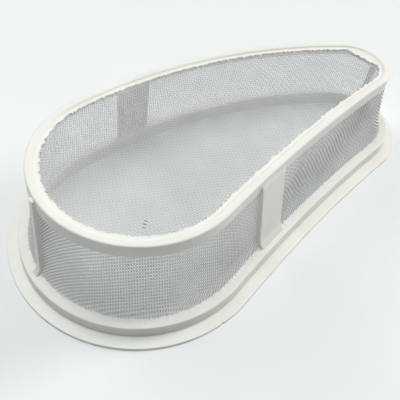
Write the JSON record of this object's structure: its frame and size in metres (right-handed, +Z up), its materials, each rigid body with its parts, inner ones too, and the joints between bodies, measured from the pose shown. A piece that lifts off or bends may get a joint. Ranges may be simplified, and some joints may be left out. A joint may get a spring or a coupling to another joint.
{
  "type": "dryer lint filter",
  "caption": "Teardrop dryer lint filter: a moulded plastic frame with a stepped flange, flat posts and a rim holds woven wire screens round its side and over its top.",
  "frame": {"origin": "middle of the flange's outline on its underside", "axes": "+X along the length to the narrow end, +Y to the side that bulges, +Z up out of the flange"},
  "size_m": [0.3322, 0.1834, 0.0761],
  "materials": {
    "plastic": "warm white, slightly dull from use",
    "wire": "dull woven wire"
  },
  "bodies": {
    "root": {"frame": "plastic", "side_screen": "wire", "top_screen": "wire"}
  },
  "joints": []
}
